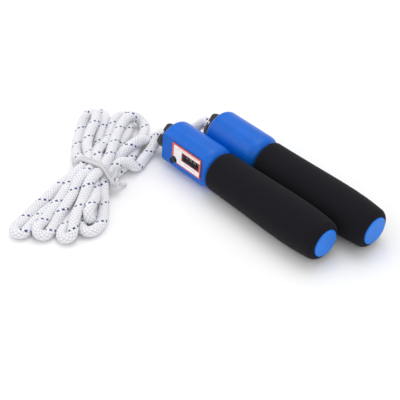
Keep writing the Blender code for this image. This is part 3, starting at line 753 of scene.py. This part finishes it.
def head_finish(colour):
    """Blue moulding, dark inside the window opening, with a painted shadow of the reset button on
    the recess below and left of it.
    """
    made = moulded("counter_head_moulding", colour, 0.34, edge=0.0014, gloss=0.3)
    look = Finish.of(made)
    x, y, z = look.on_front_handle()
    opening = look.maths("SUBTRACT", 1.0, look.outside(
        x, z, WINDOW_CENTRE, (WINDOW_SIZE[0] / 2 - 0.0002, WINDOW_SIZE[1] / 2)))
    # Painted shadow: a near-black disc on the recess below and left of the reset button stands for
    # the button's shadow.
    across = look.maths("SUBTRACT", x, SCOOP_CENTRE[0])
    up = look.maths("SUBTRACT", z, SCOOP_CENTRE[1])
    reach = look.maths("SQRT", look.maths("ADD", look.maths("MULTIPLY", across, across),
                                          look.maths("MULTIPLY", up, up)))
    button_shadow = look.maths("MULTIPLY", look.maths("LESS_THAN", reach, BUTTON_SHADOW_R),
                       look.maths("LESS_THAN", y, -0.0105))
    dark = look.maths("MAXIMUM", look.maths("MULTIPLY", opening,
                                            look.maths("LESS_THAN", y, -0.008)), button_shadow)
    base = look.shader.inputs["Base Color"].links[0].from_socket
    look.colour(look.mix(dark, base, (0.004, 0.004, 0.005)))
    return made


def wheel_digits(name, middle, look):
    """The ten raised numbers round one drum, 0 at the front when the drum is at rest."""
    whole = bmesh.new()
    for digit in range(DIGITS):
        deselect()
        bpy.ops.object.text_add()
        text = bpy.context.active_object
        text.data.body = str(digit)
        text.data.size = DIGIT_HEIGHT
        text.data.offset = 0.00009
        text.data.align_x = "CENTER"
        text.data.align_y = "CENTER"
        bpy.ops.object.convert(target="MESH")
        flat = bpy.context.active_object
        shape = bmesh.new()
        shape.from_mesh(flat.data)
        bpy.data.objects.remove(flat, do_unlink=True)
        bmesh.ops.remove_doubles(shape, verts=shape.verts, dist=1e-7)
        for k in range(-5, 6):
            bmesh.ops.bisect_plane(shape, geom=shape.verts[:] + shape.edges[:] + shape.faces[:],
                                   plane_co=(0, k * 0.0004, 0), plane_no=(0, 1, 0))
        low = min(v.co.y for v in shape.verts)
        high = max(v.co.y for v in shape.verts)
        grown = bmesh.ops.extrude_face_region(shape, geom=shape.faces[:])
        raised = {item for item in grown["geom"] if isinstance(item, bmesh.types.BMVert)}
        for vert in shape.verts:
            turn = (vert.co.y - (low + high) / 2) / WHEEL_R
            reach = WHEEL_R + (DIGIT_RELIEF if vert in raised else -0.0001)
            vert.co = Vector((vert.co.x, -reach * math.cos(turn), reach * math.sin(turn)))
        bmesh.ops.recalc_face_normals(shape, faces=shape.faces)
        turn = REST_TURN - math.radians(36 * digit)
        shape.transform(Matrix.Rotation(turn, 4, "X"))
        piece = bpy.data.meshes.new("digit")
        shape.to_mesh(piece)
        shape.free()
        whole.from_mesh(piece)
        bpy.data.meshes.remove(piece)
    whole.transform(Matrix.Translation((middle - 0.0009, COUNT_AXIS[0], COUNT_AXIS[1])))
    whole.transform(Matrix.Translation(FRONT_AXIS) @ Matrix.Rotation(FRONT_ROLL, 4, "X"))
    mesh = bpy.data.meshes.new(name)
    whole.to_mesh(mesh)
    whole.free()
    mesh.materials.append(look)
    made = bpy.data.objects.new(name, mesh)
    bpy.context.scene.collection.objects.link(made)
    return made


# ---------------------------------------------------------------- mouldings

class ROPE_OT_mouldings(bpy.types.Operator):
    """Finishes of the moulded heads, covers, caps, swivels and inner pieces"""
    bl_idname = "rope.mouldings"
    bl_label = "Mouldings"

    def execute(self, context):
        colours = context.scene.handle_settings
        blue = moulded("blue_moulding", tuple(colours.blue), 0.34, edge=0.0014, gloss=0.3)
        cap = moulded("cap_moulding", tuple(colours.cap), 0.40, edge=0.0006, gloss=0.3)
        black = moulded("black_moulding", tuple(colours.black), 0.36, edge=0.0005)
        grey = moulded("grey_moulding", (0.33, 0.34, 0.36), 0.55)
        nylon = moulded("nylon_moulding", (0.80, 0.79, 0.74), 0.5)
        drum = moulded("drum_moulding", (0.02, 0.02, 0.022), 0.5)
        steel = moulded("zinc_steel_finish", (0.62, 0.62, 0.64), 0.34)
        steel.node_tree.nodes["Principled BSDF"].inputs["Metallic"].default_value = 1.0
        repaint(["front_head_shell", "rear_head_shell", "front_bearing_cover",
                 "rear_bearing_cover"], blue)
        repaint(["front_end_cap", "rear_end_cap"], cap)
        repaint(["front_swivel", "rear_swivel", "front_reset_button"], black)
        repaint(["front_core_tube", "rear_core_tube", "front_counter_frame"], grey)
        repaint(["front_drive_pinion", "front_compound_gear", "front_count_gear",
                 "front_tens_pinion", "front_hundreds_pinion", "front_thousands_pinion"], nylon)
        repaint(["front_units_wheel", "front_tens_wheel", "front_hundreds_wheel",
                 "front_thousands_wheel"], drum)
        repaint(["front_retaining_clip", "rear_retaining_clip", "front_transfer_shaft"], steel)
        return {"FINISHED"}


class ROPE_OT_counter(bpy.types.Operator):
    """Printed plate, clear window and numbered drums of the turn counter"""
    bl_idname = "rope.counter"
    bl_label = "Counter"

    def execute(self, context):
        colours = context.scene.handle_settings
        repaint(["front_head_shell"], head_finish(tuple(colours.blue)))
        repaint(["front_counter_label"], label_finish(tuple(context.scene.handle_settings.border)))
        pane = moulded("window_finish", (0.02, 0.018, 0.02), 0.06, grain=0.000004)
        pane.node_tree.nodes["Principled BSDF"].inputs["Alpha"].default_value = 0.16
        repaint(["front_counter_window"], pane)
        ink = moulded("digit_ink", (0.95, 0.95, 0.93), 0.5)
        for place, (wheel, body) in enumerate((
                ("units", "count_shaft"), ("tens", "tens_wheel"),
                ("hundreds", "hundreds_wheel"), ("thousands", "thousands_wheel"))):
            made = wheel_digits(wheel + "_digits", UNITS_X - place * WHEEL_PITCH, ink)
            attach(made, body)
        return {"FINISHED"}


# ---------------------------------------------------------------- stage

CAMERA_PLACE = (0.4163, -0.4478, 0.5326)
CAMERA_AIM = Vector((-0.02881, -0.03665, 0.0))
LIGHT_AIM = Vector((-0.03, -0.03, 0.0))
WORLD_STRENGTH = 0.72

# Area lights: name, place, size and power.
LIGHTS = (
    ("top_light", (-0.25, 0.35, 1.3), 1.0, 6.5),
    ("side_light", (-0.9, -0.7, 0.8), 0.9, 2.5),
    ("front_light", (0.9, -0.5, 0.9), 1.0, 2.0),
)


class ROPE_OT_stage(bpy.types.Operator):
    """Pale floor, soft studio lights and the camera"""
    bl_idname = "rope.stage"
    bl_label = "Stage"

    def execute(self, context):
        scene = context.scene
        stage = scene.stage_settings
        deselect()
        bpy.ops.mesh.primitive_plane_add(size=6.0, location=(0, 0, -0.0002))
        floor = context.active_object
        floor.name = "floor"
        floor.data.materials.append(Finish("floor_finish", tuple(stage.floor), 0.9).made)
        world = bpy.data.worlds.new("soft_light")
        world.use_nodes = True
        world.node_tree.nodes["Background"].inputs["Color"].default_value = (1, 1, 1, 1)
        world.node_tree.nodes["Background"].inputs["Strength"].default_value = WORLD_STRENGTH
        scene.world = world
        for name, spot, size, power in LIGHTS:
            light = bpy.data.lights.new(name, "AREA")
            light.size = size
            light.energy = power
            lamp = bpy.data.objects.new(name, light)
            lamp.location = spot
            toward = LIGHT_AIM - Vector(spot)
            lamp.rotation_euler = toward.to_track_quat("-Z", "Y").to_euler()
            scene.collection.objects.link(lamp)
        view = bpy.data.cameras.new("camera")
        view.lens = stage.lens
        view.sensor_width = 36.0
        camera = bpy.data.objects.new("camera", view)
        camera.location = CAMERA_PLACE
        toward = CAMERA_AIM - camera.location
        camera.rotation_euler = toward.to_track_quat("-Z", "Y").to_euler()
        scene.collection.objects.link(camera)
        scene.camera = camera
        scene.view_settings.view_transform = "Standard"
        return {"FINISHED"}


class ROPE_PT_pieces(bpy.types.Panel):
    """Lists the pieces and their settings"""
    bl_label = "Jump Rope"
    bl_idname = "ROPE_PT_pieces"
    bl_space_type = "VIEW_3D"
    bl_region_type = "UI"
    bl_category = "Jump Rope"

    def draw(self, context):
        for group in (context.scene.stage_settings, context.scene.rope_settings,
                      context.scene.handle_settings):
            for key in group.bl_rna.properties.keys():
                if key not in ("rna_type", "name"):
                    self.layout.prop(group, key)
        for step in OPERATORS:
            self.layout.operator(step.bl_idname)


OPERATORS = (
    ROPE_OT_stage,
    ROPE_OT_braided_rope,
    ROPE_OT_foam_grips,
    ROPE_OT_mouldings,
    ROPE_OT_counter,
)
CLASSES = (RopeSettings, HandleSettings, StageSettings, *OPERATORS, ROPE_PT_pieces)


def register():
    for item in CLASSES:
        bpy.utils.register_class(item)
    bpy.types.Scene.rope_settings = bpy.props.PointerProperty(type=RopeSettings)
    bpy.types.Scene.handle_settings = bpy.props.PointerProperty(type=HandleSettings)
    bpy.types.Scene.stage_settings = bpy.props.PointerProperty(type=StageSettings)


def unregister():
    del bpy.types.Scene.stage_settings
    del bpy.types.Scene.handle_settings
    del bpy.types.Scene.rope_settings
    for item in reversed(CLASSES):
        bpy.utils.unregister_class(item)


def main():
    register()
    for step in OPERATORS:
        group, name = step.bl_idname.split(".")
        getattr(getattr(bpy.ops, group), name)()


if __name__ == "__main__":
    main()
